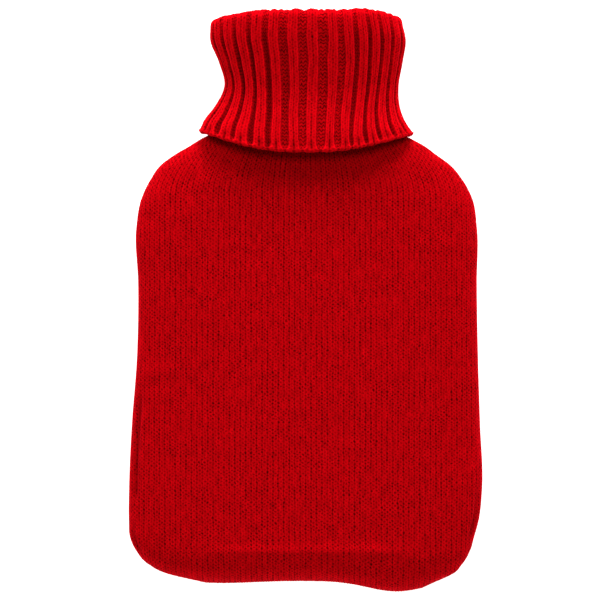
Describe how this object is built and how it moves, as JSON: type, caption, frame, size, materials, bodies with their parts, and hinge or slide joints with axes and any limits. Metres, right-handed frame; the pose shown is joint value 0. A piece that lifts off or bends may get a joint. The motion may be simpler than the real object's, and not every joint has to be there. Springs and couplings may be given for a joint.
{
  "type": "hot water bottle cover",
  "caption": "Hollow knitted cover for a hot water bottle, lying on its back, with a folded rib collar round the neck opening.",
  "frame": {"origin": "under the middle of the cover, on the surface it lies on", "axes": "+Y towards the neck opening, +Z out of the front, +X to the right seen from above with the neck away"},
  "size_m": [0.2056, 0.3399, 0.0474],
  "materials": {
    "stockinette": "red acrylic stockinette, matt with a soft fuzz",
    "rib": "red acrylic two by two rib, matt with a soft fuzz"
  },
  "bodies": {
    "root": {"front_panel": "stockinette", "back_panel": "stockinette", "rib_collar": "rib"}
  },
  "joints": []
}
